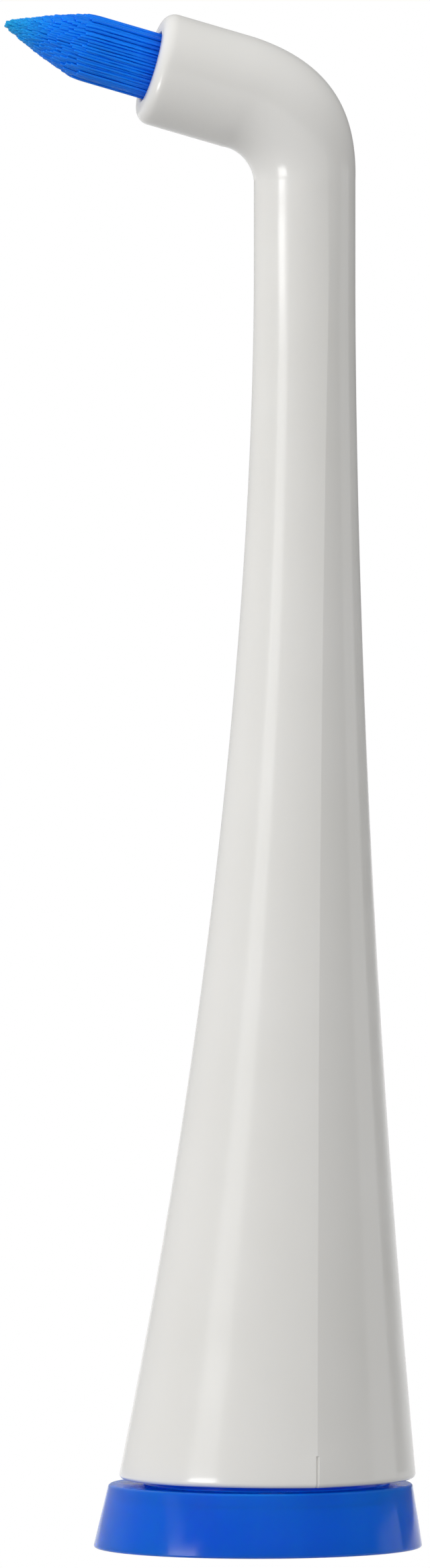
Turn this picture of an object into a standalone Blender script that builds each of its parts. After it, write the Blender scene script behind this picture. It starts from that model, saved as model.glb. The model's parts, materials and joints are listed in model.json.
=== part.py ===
"""Interdental brush head for a powered handle.

A flared hollow shell runs up into a slim neck, bends over and carries a pointed bristle tuft. A colour
ring plugs into the foot of the shell. Inside, a socket takes the handle's drive shaft, and a clip of spring
wire holds it.

The frame has +Z up and the tuft towards -X. The origin lies on the underside of the colour ring, at the
centre of the footprint that the whole head covers. Dimensions are in millimetres from the base axis, the
upright line through the middle of the ring's foot, which the empty "base_axis" carries to its place.
"""

import math
from collections import namedtuple

import bmesh
import bpy
from mathutils import Matrix, Vector

MM = 0.001

# Shell: a skewed cone below, a round neck above
SHELL_FOOT_Z = 3.8
FLARE_TOP_Z = 70.0
FLARE_POWER = 1.8
NECK_X = 2.6
NECK_RADIUS = 2.8
FLARE_RADIUS = 6.0  # added to the neck's radius where the cone would meet the ground
FLARE_SHIFT = 2.3  # how far the cone's middle leans forward of the neck there
FLARE_FLATTENING = 0.06
WALL = 1.3
LIP_ROUND = 0.3

# Bend and head
BEND_CORNER_Z = 79.25
BEND_RADIUS = 5.1
BEND_SWELL = 0.22
HEAD_RISE = math.radians(16.0)
HEAD_TURN = math.pi / 2 - HEAD_RISE
HEAD_RADIUS = 3.14
HEAD_REACH = 8.95  # from the bend's corner to the mouth
RIM_ROUND = 0.6

# Bristle tuft, measured along the head's axis from the mouth
TUFT_RADIUS = 1.89
TUFT_LENGTH = 8.4
TUFT_STRAIGHT = 3.5
TUFT_TIP_RADIUS = 0.12
TUFT_TAPER_POWER = 1.25
TUFT_PIVOT = 1.5  # the free tuft bends as if about this point, and ends below it in a dome
TUFT_HOLE_RADIUS = 1.98
TUFT_HOLE_DEPTH = 4.8
ANCHOR_LENGTH = 3.5
ANCHOR_HEIGHT = 1.5
ANCHOR_THICKNESS = 0.3

# Shaft socket and what holds it
SHAFT_X = 1.9
SHAFT_RADIUS = 1.75
SHAFT_FLAT = 1.35
SHAFT_DEPTH_Z = 33.0
SHAFT_LEAD = 0.6
SOCKET_FOOT_Z = 11.8
SHELF_Z = 24.0
BORE_RADIUS = 3.0
BORE_TOP_Z = 40.0
BORE_CORNER = 0.4
CORE_TOP_Z = 60.0
CORE_RADIUS = 1.35
BARREL_RADIUS = 2.85
LOWER_BARREL_RADIUS = 2.5
BARREL_EDGE = 0.2
FLANGE_RADIUS = 3.7
FLANGE_HEIGHT = 1.2
SPIDER_Z = 12.4
SPIDER_HEIGHT = 1.6
SPIDER_RIM = 1.0
SPIDER_HUB_WALL = 0.8
SPOKE_WIDTH = 1.3
SPOKE_HEIGHT = 1.2

# Wire clip
CLIP_Z = 17.2
WIRE_RADIUS = 0.27
CLIP_BOW_RADIUS = 3.0
ARM_X = 1.67
ARM_END_Y = -2.7
ARM_KINK = 0.4
SLOT_INNER_X = 1.2
CLIP_SLOT_HEIGHT = 1.0

# Colour ring
RING_HEIGHT = 3.5
RING_FOOT_RADIUS = 9.1
RING_TOP_RADIUS = 8.4
RING_FLATTENING = 0.055
RING_TOP_SHIFT = 0.15
RING_BAND = 1.15
RING_WEB = 1.0
RING_EDGE = 0.25
COLLAR_TOP_Z = 7.4
COLLAR_WALL = 0.85
COLLAR_LEAD = 0.3
COLLAR_SLOT = 3.2
COLLAR_SLOT_RISE = 0.2
RING_DRAFT = 0.2

GAP = 0.15
SEGMENTS = 40
RING_SEGMENTS = 48
INNER_SEGMENTS = 32
TUFT_SEGMENTS = 24
UP = 0.0

# The head's extent along X sets where the base axis stands, so that the origin is under its middle
TIP_X = NECK_X - (HEAD_REACH + TUFT_LENGTH) * math.cos(HEAD_RISE)
BASE_X = -(TIP_X + RING_FOOT_RADIUS) / 2

Station = namedtuple("Station", "x z lean half_width half_depth")


def flare(z):
    """1 where the cone would meet the ground, falling to 0 at the neck."""
    return max(0.0, 1 - z / FLARE_TOP_Z) ** FLARE_POWER


def skirt(z, inset=0.0):
    """The shell's outer section at height z, drawn in by inset."""
    half_width = NECK_RADIUS + FLARE_RADIUS * flare(z)
    half_depth = half_width * (1 - FLARE_FLATTENING * flare(z))
    return Station(NECK_X - FLARE_SHIFT * flare(z), z, UP, half_width - inset, half_depth - inset)


def upright(x, z, radius):
    """A level circle."""
    return Station(x, z, UP, radius, radius)


def head_point(distance):
    """The point on the head's axis this far beyond the mouth, as (x, z)."""
    reach = HEAD_REACH + distance
    return NECK_X - reach * math.cos(HEAD_RISE), BEND_CORNER_Z + reach * math.sin(HEAD_RISE)


def across_head(distance, radius):
    """A circle across the head's axis, this far beyond the mouth."""
    x, z = head_point(distance)
    return Station(x, z, HEAD_TURN, radius, radius)


def bend_stations(count=12):
    """The sections round the bend, a little fuller at its middle."""
    tangent = BEND_RADIUS * math.tan(HEAD_TURN / 2)
    stations = []
    for i in range(count + 1):
        share = i / count
        turn = HEAD_TURN * share
        radius = NECK_RADIUS + (HEAD_RADIUS - NECK_RADIUS) * share
        radius += BEND_SWELL * math.sin(math.pi * share) ** 2
        x = NECK_X - BEND_RADIUS * (1 - math.cos(turn))
        z = BEND_CORNER_Z - tangent + BEND_RADIUS * math.sin(turn)
        stations.append(Station(x, z, turn, radius, radius))
    return stations


def ring_of(station, segments):
    """The section's points. At no lean it is level; leaning turns it about Y towards -X."""
    across = Vector((math.cos(station.lean), 0, math.sin(station.lean)))
    points = []
    for i in range(segments):
        angle = 2 * math.pi * i / segments
        point = Vector((station.x, 0, station.z)) + across * (station.half_width * math.cos(angle))
        points.append((point + Vector((0, station.half_depth * math.sin(angle), 0))) * MM)
    return points


def skinned(stations, segments=SEGMENTS, looped=False):
    """A mesh through the sections in turn, capped at both ends, or joined end to end if looped."""
    bm = bmesh.new()
    rings = [[bm.verts.new(p) for p in ring_of(s, segments)] for s in stations]
    pairs = list(zip(rings, rings[1:]))
    if looped:
        pairs.append((rings[-1], rings[0]))
    for low, high in pairs:
        for i in range(segments):
            j = (i + 1) % segments
            bm.faces.new((low[i], low[j], high[j], high[i]))
    if not looped:
        bm.faces.new(reversed(rings[0]))
        bm.faces.new(rings[-1])
    bmesh.ops.recalc_face_normals(bm, faces=bm.faces)
    return bm


def turned(profile, segments=SEGMENTS):
    """A solid turned about local Z from (radius, height) pairs, bottom to top."""
    return skinned([upright(0, z, r) for r, z in profile], segments)


def box(size, centre):
    """A block of this size, centred here."""
    bm = bmesh.new()
    bmesh.ops.create_cube(bm, size=MM)
    bmesh.ops.scale(bm, vec=size, verts=bm.verts)
    bmesh.ops.translate(bm, vec=Vector(centre) * MM, verts=bm.verts)
    return bm


def material(name, colour, roughness, metallic=0.0):
    made = bpy.data.materials.new(name)
    made.use_nodes = True
    shader = made.node_tree.nodes["Principled BSDF"]
    shader.inputs["Base Color"].default_value = (*colour, 1)
    shader.inputs["Roughness"].default_value = roughness
    shader.inputs["Metallic"].default_value = metallic
    return made


def place(obj, parent, at=(0, 0, 0), lean=0.0):
    """Parents the object and sets it at a point in millimetres, leaning towards -X."""
    obj.parent = parent
    obj.location = Vector(at) * MM
    obj.rotation_euler = (0, -lean, 0)
    return obj


def solid(name, bm, finish, parent, at=(0, 0, 0), lean=0.0, smooth_below=35.0):
    """Turns a bmesh into a named, placed object."""
    mesh = bpy.data.meshes.new(name)
    bm.to_mesh(mesh)
    bm.free()
    mesh.shade_smooth()
    mesh.set_sharp_from_angle(angle=math.radians(smooth_below))
    obj = bpy.data.objects.new(name, mesh)
    bpy.context.scene.collection.objects.link(obj)
    if finish:
        mesh.materials.append(finish)
    return place(obj, parent, at, lean)


def combine(target, operation, bm, name):
    """Joins a hidden helper shape to target, or cuts it away, with a Boolean modifier."""
    helper = solid(name, bm, None, target.parent, target.location / MM, -target.rotation_euler.y)
    helper.hide_render = True
    helper.display_type = "WIRE"
    modifier = target.modifiers.new(name, "BOOLEAN")
    modifier.operation = operation
    modifier.solver = "EXACT"
    modifier.object = helper


def wire(name, points, finish, parent, at=(0, 0, 0)):
    """A round wire through the points, with closed ends."""
    curve = bpy.data.curves.new(name, "CURVE")
    curve.dimensions = "3D"
    curve.bevel_depth = WIRE_RADIUS * MM
    curve.bevel_resolution = 2
    curve.use_fill_caps = True
    spline = curve.splines.new("POLY")
    spline.points.add(len(points) - 1)
    for spot, point in zip(spline.points, points):
        spot.co = (*(Vector(point) * MM), 1)
    curve.materials.append(finish)
    obj = bpy.data.objects.new(name, curve)
    bpy.context.scene.collection.objects.link(obj)
    return place(obj, parent, at)


def empty(name, at, parent=None, lean=0.0):
    made = bpy.data.objects.new(name, None)
    bpy.context.scene.collection.objects.link(made)
    return place(made, parent, at, lean)


def outer_shell(finish, base):
    """One moulding: down the inside from the core hole, round the foot, up the outside, over the bend and
    into the blind hole for the tuft."""
    core = [upright(NECK_X, CORE_TOP_Z, CORE_RADIUS / 2)]
    core.append(upright(NECK_X, CORE_TOP_Z - CORE_RADIUS / 2, CORE_RADIUS))
    core.append(upright(SHAFT_X, BORE_TOP_Z + BORE_CORNER, CORE_RADIUS + BORE_CORNER))
    bore = [upright(SHAFT_X, BORE_TOP_Z, BORE_RADIUS - BORE_CORNER)]
    bore.append(upright(SHAFT_X, BORE_TOP_Z - BORE_CORNER, BORE_RADIUS))
    bore.append(upright(SHAFT_X, SHELF_Z, BORE_RADIUS))
    lip_z = SHELL_FOOT_Z + LIP_ROUND
    steps = 7
    inside = [skirt(SHELF_Z + (lip_z - SHELF_Z) * i / steps, WALL) for i in range(steps + 1)]
    bulge = LIP_ROUND * (1 - math.sqrt(0.5))  # how far the round lip's middle lies inside its corner
    foot = [skirt(SHELL_FOOT_Z, WALL - LIP_ROUND), skirt(SHELL_FOOT_Z, LIP_ROUND)]
    foot.append(skirt(SHELL_FOOT_Z + bulge, bulge))
    steps = 15
    outside = [skirt(lip_z + (FLARE_TOP_Z - lip_z) * i / steps) for i in range(steps + 1)]
    rim = []
    rim_steps = 3
    for i in range(rim_steps + 1):
        angle = math.pi / 2 * i / rim_steps
        rim.append(
            across_head(-RIM_ROUND * (1 - math.sin(angle)), HEAD_RADIUS - RIM_ROUND * (1 - math.cos(angle)))
        )
    hole = [across_head(0, TUFT_HOLE_RADIUS + GAP), across_head(-GAP, TUFT_HOLE_RADIUS)]
    hole.append(across_head(-TUFT_HOLE_DEPTH, TUFT_HOLE_RADIUS))
    stations = core + bore + inside + foot + outside + bend_stations() + rim + hole
    solid("outer_shell", skinned(stations), finish, base)


def colour_ring(finish, base):
    """The band round the foot, and the collar of four springy fingers that plugs up inside the shell."""

    def band(z, inset):
        share = z / RING_HEIGHT
        radius = RING_FOOT_RADIUS + (RING_TOP_RADIUS - RING_FOOT_RADIUS) * share - inset
        return Station(RING_TOP_SHIFT * share, z, UP, radius, radius - RING_FLATTENING * RING_FOOT_RADIUS)

    edge = RING_EDGE
    bulge = edge * (1 - math.sqrt(0.5))  # how far a round edge's middle lies inside its corner
    web_z = RING_HEIGHT - RING_WEB
    collar_out = WALL + GAP
    collar_in = collar_out + COLLAR_WALL
    sections = [band(0, RING_BAND), band(0, edge), band(bulge, bulge), band(edge, 0)]
    sections += [band(RING_HEIGHT - edge, 0), band(RING_HEIGHT - bulge, bulge), band(RING_HEIGHT, edge)]
    sections += [skirt(RING_HEIGHT, collar_out), skirt(COLLAR_TOP_Z - COLLAR_LEAD, collar_out)]
    sections += [skirt(COLLAR_TOP_Z, collar_out + COLLAR_LEAD), skirt(COLLAR_TOP_Z, collar_in)]
    sections += [skirt(web_z, collar_in), band(web_z, RING_BAND + RING_DRAFT)]
    ring = solid("colour_ring", skinned(sections, RING_SEGMENTS, looped=True), finish, base)

    slot_foot = RING_HEIGHT + COLLAR_SLOT_RISE
    slot_top = COLLAR_TOP_Z + 1
    slot_length = 4 * RING_FOOT_RADIUS
    slot_height = slot_top - slot_foot
    centre = (skirt(COLLAR_TOP_Z).x, 0, (slot_foot + slot_top) / 2)
    combine(ring, "DIFFERENCE", box((slot_length, COLLAR_SLOT, slot_height), centre), "collar_slot_along")
    combine(ring, "DIFFERENCE", box((COLLAR_SLOT, slot_length, slot_height), centre), "collar_slot_across")


def shaft_socket(finish, base):
    """The barrel that takes the drive shaft: flanged, with a D-shaped blind bore and slots for the clip."""
    top = BORE_TOP_Z - BORE_CORNER - GAP
    flange_top = SHELF_Z - GAP
    flange_foot = flange_top - FLANGE_HEIGHT
    foot = LOWER_BARREL_RADIUS
    profile = [(foot - BARREL_EDGE, SOCKET_FOOT_Z), (foot, SOCKET_FOOT_Z + BARREL_EDGE), (foot, flange_foot)]
    profile += [(FLANGE_RADIUS, flange_foot), (FLANGE_RADIUS, flange_top), (BARREL_RADIUS, flange_top)]
    profile += [(BARREL_RADIUS, top - BORE_CORNER), (BARREL_RADIUS - BORE_CORNER, top)]
    socket = solid("shaft_socket", turned(profile, INNER_SEGMENTS), finish, base, (SHAFT_X, 0, 0))

    below = SOCKET_FOOT_Z - SHAFT_LEAD
    bore = turned([(SHAFT_RADIUS, below), (SHAFT_RADIUS, SHAFT_DEPTH_Z)], INNER_SEGMENTS)
    for vert in bore.verts:
        vert.co.y = max(vert.co.y, -SHAFT_FLAT * MM)
    combine(socket, "DIFFERENCE", bore, "shaft_bore")
    wide, narrow = SHAFT_RADIUS + SHAFT_LEAD, SHAFT_RADIUS - SHAFT_LEAD
    lead_in = turned([(wide, below), (narrow, below + wide - narrow)], INNER_SEGMENTS)
    combine(socket, "DIFFERENCE", lead_in, "shaft_lead_in")
    slot = (foot, 4 * foot, CLIP_SLOT_HEIGHT)
    for side, word in ((-1, "left"), (1, "right")):
        centre = (side * (SLOT_INNER_X + foot / 2), 0, CLIP_Z)
        combine(socket, "DIFFERENCE", box(slot, centre), f"clip_slot_{word}")


def socket_spider(finish, base):
    """The carrier that centres the socket's foot in the skirt: a hub and a rim joined by four spokes."""
    top = SPIDER_Z + SPIDER_HEIGHT
    fit = WALL + GAP
    rim = [skirt(SPIDER_Z, fit), skirt(top, fit)]
    rim += [skirt(top, fit + SPIDER_RIM), skirt(SPIDER_Z, fit + SPIDER_RIM)]
    spider = solid("socket_spider", skinned(rim, looped=True), finish, base)
    bore = LOWER_BARREL_RADIUS + GAP
    edge = bore + SPIDER_HUB_WALL
    hub = [upright(SHAFT_X, z, r) for r, z in ((bore, SPIDER_Z), (bore, top), (edge, top), (edge, SPIDER_Z))]
    combine(spider, "UNION", skinned(hub, INNER_SEGMENTS, looped=True), "spider_hub")
    for k in range(4):
        angle = math.pi / 4 + k * math.pi / 2
        start = bore + SPIDER_HUB_WALL / 2
        reach = spoke_reach(angle) - fit - SPIDER_RIM / 2
        spoke = box((reach - start, SPOKE_WIDTH, SPOKE_HEIGHT), ((start + reach) / 2, 0, 0))
        bmesh.ops.rotate(spoke, verts=spoke.verts, matrix=Matrix.Rotation(angle, 3, "Z"))
        middle = Vector((SHAFT_X, 0, (SPIDER_Z + top) / 2))
        bmesh.ops.translate(spoke, verts=spoke.verts, vec=middle * MM)
        combine(spider, "UNION", spoke, f"spider_spoke_{k + 1}")


def spoke_reach(angle):
    """How far the skirt's outer surface lies from the shaft's axis in this direction, at the spider."""
    section = skirt(SPIDER_Z)
    offset = SHAFT_X - section.x
    a = (math.cos(angle) / section.half_width) ** 2 + (math.sin(angle) / section.half_depth) ** 2
    b = offset * math.cos(angle) / section.half_width**2
    c = (offset / section.half_width) ** 2 - 1
    return (-b + math.sqrt(b * b - a * c)) / a


def wire_clip(finish, base):
    """A hairpin of spring wire: a bow beside the barrel, and two arms that cross its bore and spread."""
    bow_end = math.acos(ARM_X / CLIP_BOW_RADIUS)
    arm_start_y = CLIP_BOW_RADIUS * math.sin(bow_end)
    steps = 10
    bow = []
    for i in range(steps + 1):
        angle = bow_end + (math.pi - 2 * bow_end) * i / steps
        bow.append((SHAFT_X + CLIP_BOW_RADIUS * math.cos(angle), CLIP_BOW_RADIUS * math.sin(angle), CLIP_Z))
    wire("clip_bow", bow, finish, base)
    for side, word in ((-1, "left"), (1, "right")):
        start = arm_start_y - GAP - WIRE_RADIUS
        pivot = empty(f"clip_pivot_{word}", (SHAFT_X + side * ARM_X, start, CLIP_Z), base)
        length = start - ARM_END_Y
        arm = [(0, 0, 0), (0, -0.5 * length, 0), (0, -length + ARM_KINK, 0), (side * ARM_KINK, -length, 0)]
        wire(f"clip_arm_{word}", arm, finish, pivot)


def tuft(bristle, metal, base):
    """The root of the tuft in its blind hole, the anchor plate that it is folded over, and the free tuft."""
    x, z = head_point(TUFT_PIVOT)
    pivot = empty("tuft_pivot", (x, 0, z), base, HEAD_TURN)
    foot = -TUFT_HOLE_DEPTH + GAP - TUFT_PIVOT
    dome_foot = -TUFT_RADIUS

    root_radius = TUFT_HOLE_RADIUS - GAP
    stub = turned([(root_radius, foot), (root_radius, dome_foot - GAP)], INNER_SEGMENTS)
    root = solid("tuft_root", stub, bristle, pivot)
    slot = (4 * root_radius, ANCHOR_THICKNESS + 2 * GAP, 2 * (ANCHOR_HEIGHT + GAP))
    combine(root, "DIFFERENCE", box(slot, (0, 0, foot)), "anchor_slot")

    plate = box((ANCHOR_LENGTH, ANCHOR_THICKNESS, ANCHOR_HEIGHT), (0, 0, foot + ANCHOR_HEIGHT / 2))
    anchor = solid("tuft_anchor", plate, metal, pivot)
    bevel = anchor.modifiers.new("edges", "BEVEL")
    bevel.width = ANCHOR_THICKNESS / 6 * MM
    bevel.segments = 1

    dome_steps = 6
    profile = []
    for i in range(1, dome_steps + 1):
        angle = math.pi / 2 * i / dome_steps
        profile.append((TUFT_RADIUS * math.sin(angle), -TUFT_RADIUS * math.cos(angle)))
    profile.append((TUFT_RADIUS, TUFT_STRAIGHT - TUFT_PIVOT))
    taper_steps = 7
    for i in range(1, taper_steps + 1):
        share = i / taper_steps
        radius = TUFT_TIP_RADIUS + (TUFT_RADIUS - TUFT_TIP_RADIUS) * (1 - share**TUFT_TAPER_POWER)
        profile.append((radius, TUFT_STRAIGHT - TUFT_PIVOT + (TUFT_LENGTH - TUFT_STRAIGHT) * share))
    solid("bristle_tuft", turned(profile, TUFT_SEGMENTS), bristle, pivot)


def build():
    for obj in list(bpy.data.objects):
        bpy.data.objects.remove(obj)
    white = material("gloss_white", (0.80, 0.79, 0.76), 0.22)
    natural = material("natural_acetal", (0.86, 0.85, 0.80), 0.45)
    blue = material("translucent_blue", (0.005, 0.10, 0.62), 0.12)
    bristle = material("blue_nylon", (0.004, 0.12, 0.72), 0.35)
    steel = material("spring_steel", (0.62, 0.62, 0.63), 0.25, 1.0)
    brass = material("anchor_brass", (0.70, 0.55, 0.28), 0.3, 1.0)

    base = empty("base_axis", (BASE_X, 0, 0))
    outer_shell(white, base)
    colour_ring(blue, base)
    shaft_socket(natural, base)
    socket_spider(natural, base)
    wire_clip(steel, base)
    tuft(bristle, brass, base)


build()
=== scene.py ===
"""The looks of the interdental brush head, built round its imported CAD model.

Every piece is a finer version of a CAD node: the same sizes, with more sections, rounded edges, the parting
line of the mould, single filaments in the tuft, and a material made from nodes. Dimensions are in
millimetres, as they are in the design: x from the base axis, which stands in the middle of the ring's foot,
and z from the underside of the ring. The camera and the lamps are placed in metres and degrees.
"""

import json
import math
import random
from collections import namedtuple

import bmesh
import bpy
from mathutils import Matrix, Vector


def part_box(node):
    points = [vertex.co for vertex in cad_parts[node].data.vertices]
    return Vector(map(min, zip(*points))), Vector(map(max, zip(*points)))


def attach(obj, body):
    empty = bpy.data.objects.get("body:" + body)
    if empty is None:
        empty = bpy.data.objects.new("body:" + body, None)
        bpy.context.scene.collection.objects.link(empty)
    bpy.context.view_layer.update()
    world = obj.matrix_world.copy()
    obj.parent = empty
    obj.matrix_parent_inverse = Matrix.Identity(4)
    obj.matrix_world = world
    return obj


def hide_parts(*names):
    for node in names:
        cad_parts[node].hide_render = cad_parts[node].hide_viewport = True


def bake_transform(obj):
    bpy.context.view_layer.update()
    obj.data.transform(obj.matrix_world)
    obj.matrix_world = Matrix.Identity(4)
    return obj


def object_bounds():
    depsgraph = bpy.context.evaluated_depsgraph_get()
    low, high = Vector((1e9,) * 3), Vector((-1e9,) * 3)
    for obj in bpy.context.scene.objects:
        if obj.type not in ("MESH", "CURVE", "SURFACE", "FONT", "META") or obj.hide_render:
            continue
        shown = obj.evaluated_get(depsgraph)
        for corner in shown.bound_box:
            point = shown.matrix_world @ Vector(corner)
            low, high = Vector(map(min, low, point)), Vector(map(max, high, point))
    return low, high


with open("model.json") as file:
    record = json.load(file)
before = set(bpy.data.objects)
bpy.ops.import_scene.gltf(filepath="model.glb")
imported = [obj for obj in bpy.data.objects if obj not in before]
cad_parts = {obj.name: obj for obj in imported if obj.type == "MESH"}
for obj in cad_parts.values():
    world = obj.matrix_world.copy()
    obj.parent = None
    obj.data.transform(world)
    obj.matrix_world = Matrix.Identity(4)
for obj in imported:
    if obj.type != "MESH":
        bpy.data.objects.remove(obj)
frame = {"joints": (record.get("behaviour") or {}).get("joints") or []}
cad_low, cad_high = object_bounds()
CENTRE = (cad_low + cad_high) / 2

MM = 0.001

# Where the design's own dimensions start, read from the frame
ring_low, ring_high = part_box("colour_ring")
BASE_X = (ring_low.x + ring_high.x) / 2
SHELL_FOOT_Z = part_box("outer_shell")[0].z / MM
RING_TRAVEL = next(j for j in frame["joints"] if j["name"] == "ring_pull_off")["range_m"][1]

# Camera: a long lens nearly level with the middle of the head, a little towards the tuft's side. The view
# is VIEW_HEIGHT high at the head, and its centre lies this far right of the head's middle and below it.
VIEW_AZIMUTH = -8.5
VIEW_ELEVATION = 1.62
VIEW_DISTANCE = 0.817
VIEW_HEIGHT = 0.08648
VIEW_RIGHT = 0.00014
VIEW_DOWN = 0.00012
SENSOR = 36.0

# Light around the head: its strength at the horizon, and its gain towards the left and straight up.
# Reflections see a smaller share of it, so that they stay clear, and with it a backdrop behind the head on
# the left, which brightens towards its own middle, given as the cosine of the angle from there.
WORLD_LEVEL = 0.56
WORLD_SIDE = 0.16
WORLD_RISE = 0.4
WORLD_AZIMUTH = -68.0
WORLD_GLOSS = 0.35
BACKDROP_AZIMUTH = -150.0
BACKDROP_LEVEL = 0.4
BACKDROP_EDGE = 0.5
BACKDROP_MIDDLE = 0.9
FLOOR_HALF_WIDTH = 3.0
FLOOR_CLEARANCE = 0.001

# Rectangular lamps that face a point above the head's middle by their rise, and turn by their tilt
Lamp = namedtuple("Lamp", "azimuth elevation distance rise width height tilt radiance")
WINDOWS = {
    "key": Lamp(-58, -8, 0.7, 0, 0.26, 0.42, 6, 2.6),  # the strip down the left of the neck
    "upper_key": Lamp(-74, 17, 0.7, 0, 0.12, 0.34, 50, 0.6),  # the same strip on the skirt and the ring
}
# Lamps that light the surface and leave no spot on it
FILLS = {
    "fill": Lamp(-42, 20, 0.18, 0.03, 0.10, 0.10, 0, 2.2),  # the left of the neck
    "low_fill": Lamp(-70, 3, 0.12, -0.035, 0.05, 0.05, 0, 1.0),  # the left of the skirt and the ring
    "crown": Lamp(85, 42, 0.20, 0.038, 0.10, 0.10, 0, 1.2),  # the back of the bend
    "mouth": Lamp(-104, 25, 0.06, 0.040, 0.03, 0.03, 0, 1.7),  # the rim of the mouth
}
# Lamps that show only in reflections
GLINTS = {
    "glint": Lamp(-58, 0, 0.2, -0.027, 0.075, 0.042, 0, 8.0),  # the bright top of the strip, in the bend
    "near_glint": Lamp(-58, 0, 0.04, 0.030, 0.012, 0.005, 0, 6.0),  # and just below the bend
    "edge": Lamp(98, -8, 0.7, 0, 0.34, 0.30, 0, 0.8),  # the dim strip down the right edge
}

# Shell: a skewed cone below, a round neck above
FLARE_TOP_Z = 70.0
FLARE_POWER = 1.8
NECK_X = 2.6
NECK_RADIUS = 2.8
FLARE_RADIUS = 6.0
FLARE_SHIFT = 2.3
FLARE_FLATTENING = 0.06
WALL = 1.3
LIP_ROUND = 0.3

# Parting line of the mould: a sharp, slightly raised edge on both sides, with a short groove at the foot.
# The edge fades over PARTING_REACH, an angle. The groove's sides are this share of its depth.
PARTING_X = 1.9
PARTING_SLOPE = 0.0225
PARTING_RAISE = 0.06
PARTING_REACH = 0.36
PARTING_FADE_Z = 66.0
GROOVE_HEIGHT = 1.7
GROOVE_DEPTH = 0.11
GROOVE_SIDE_SHARE = 0.7
GROOVE_HALF_WIDTH = 0.045
GROOVE_LIP = 0.012

# Bend and head
BEND_CORNER_Z = 79.25
BEND_RADIUS = 5.1
BEND_SWELL = 0.25
HEAD_RISE = math.radians(16.0)
HEAD_TURN = math.pi / 2 - HEAD_RISE
HEAD_RADIUS = 3.14
HEAD_REACH = 8.95
RIM_ROUND = 0.72

# Bristle tuft, and the hole and the brass plate that hold it
TUFT_RADIUS = 1.89
TUFT_LENGTH = 8.4
TUFT_STRAIGHT = 3.5
TUFT_TIP_RADIUS = 0.12
TUFT_TAPER_POWER = 1.25
TUFT_GATHER = 0.55
TUFT_GATHER_POWER = 1.4
TUFT_HOLE_RADIUS = 1.98
TUFT_HOLE_DEPTH = 4.8
ANCHOR_LENGTH = 3.5
ANCHOR_HEIGHT = 1.5
ANCHOR_THICKNESS = 0.3
ANCHOR_EDGE = 0.05

# Filaments: their size and packing, how unevenly they stand and are trimmed, and their rounded tips as
# (distance from the end, share of the radius). The outermost have at least FILAMENT_EDGE_SHARE of their
# radius inside the tuft's. Along its axis, from the mouth, all stand apart up to PARTED_AT, beside the
# brass plate, and together from TOGETHER_AT.
FILAMENT_RADIUS = 0.078
FILAMENT_SPACING = 0.162
FILAMENT_SCATTER = 0.02
FILAMENT_STRAY = 0.012
FILAMENT_SIDES = 6
FILAMENT_EDGE_SHARE = 0.6
FILAMENT_SEED = 7
TRIM_SCATTER = 0.05
TIP_ROUND = 0.1
TIP_SHAPE = ((0.04, 0.85), (0.0, 0.45))
PARTED_AT = -3.0
TOGETHER_AT = -1.0
PARTED_BY = 0.25
PARTED_SQUEEZE = 0.8

# Shaft socket and spider
SHAFT_X = 1.9
SHAFT_RADIUS = 1.75
SHAFT_FLAT = 1.35
SHAFT_DEPTH_Z = 33.0
SHAFT_LEAD = 0.6
SHAFT_CHAMFER = 0.25
SOCKET_FOOT_Z = 11.8
SHELF_Z = 24.0
BORE_RADIUS = 3.0
BORE_TOP_Z = 40.0
BORE_CORNER = 0.4
CORE_TOP_Z = 60.0
CORE_RADIUS = 1.35
CORE_ROUNDING = (0.5, 0.85, 1.0)
BARREL_RADIUS = 2.85
LOWER_BARREL_RADIUS = 2.5
BARREL_EDGE = 0.2
FLANGE_RADIUS = 3.7
FLANGE_HEIGHT = 1.2
SPIDER_Z = 12.4
SPIDER_HEIGHT = 1.6
SPIDER_RIM = 1.0
SPIDER_HUB_WALL = 0.8
SPIDER_EDGE = 0.1
SPOKES = 4
SPOKE_WIDTH = 1.3
SPOKE_HEIGHT = 1.2

# Wire clip. Its ends are rounded through these angles, and are WIRE_END_LENGTH radii long.
CLIP_Z = 17.2
WIRE_RADIUS = 0.27
WIRE_SIDES = 20
WIRE_END_ANGLES = (0.15, 0.55, 1.0, math.pi / 2)
WIRE_END_LENGTH = 0.5
CLIP_BOW_RADIUS = 3.0
ARM_X = 1.67
ARM_END_Y = -2.7
ARM_KINK = 0.4
SLOT_INNER_X = 1.2
CLIP_SLOT_HEIGHT = 1.0

# Colour ring
RING_HEIGHT = 3.5
RING_FOOT_RADIUS = 9.1
RING_TOP_RADIUS = 8.4
RING_FLATTENING = 0.5
RING_TOP_SHIFT = 0.15
RING_BAND = 1.15
RING_WEB = 1.0
RING_EDGE = 0.14
RING_DRAFT = 0.2
COLLAR_TOP_Z = 7.4
COLLAR_WALL = 0.85
COLLAR_LEAD = 0.3
COLLAR_SLOT = 3.2
COLLAR_SLOT_RISE = 0.2

# The clearance between neighbours, and how far a cutter passes what it cuts
GAP = 0.15
CUTTER_REACH = 1.0

# Smoothness: columns and sections, and the angle in degrees above which an edge stays sharp
BACK_COLUMNS = 18
FRONT_COLUMNS = 44
ROUND_SEGMENTS = 128
INNER_SEGMENTS = 72
INSIDE_STEPS = 20
LIP_STEPS = 6
GROOVE_STEPS = 4
FLARE_STEPS = 60
NECK_STEPS = 5
BEND_STEPS = 32
HEAD_STEPS = 6
RIM_STEPS = 9
MOUTH_STEPS = 4
COLLAR_STEPS = 4
BOW_STEPS = 32
KINK_STEPS = 4
FILAMENT_STEPS = 12
TRIM_HALVINGS = 30
SHARP_ABOVE = 35.0
SHARP_ABOVE_ON_WIRES = 60.0

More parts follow.
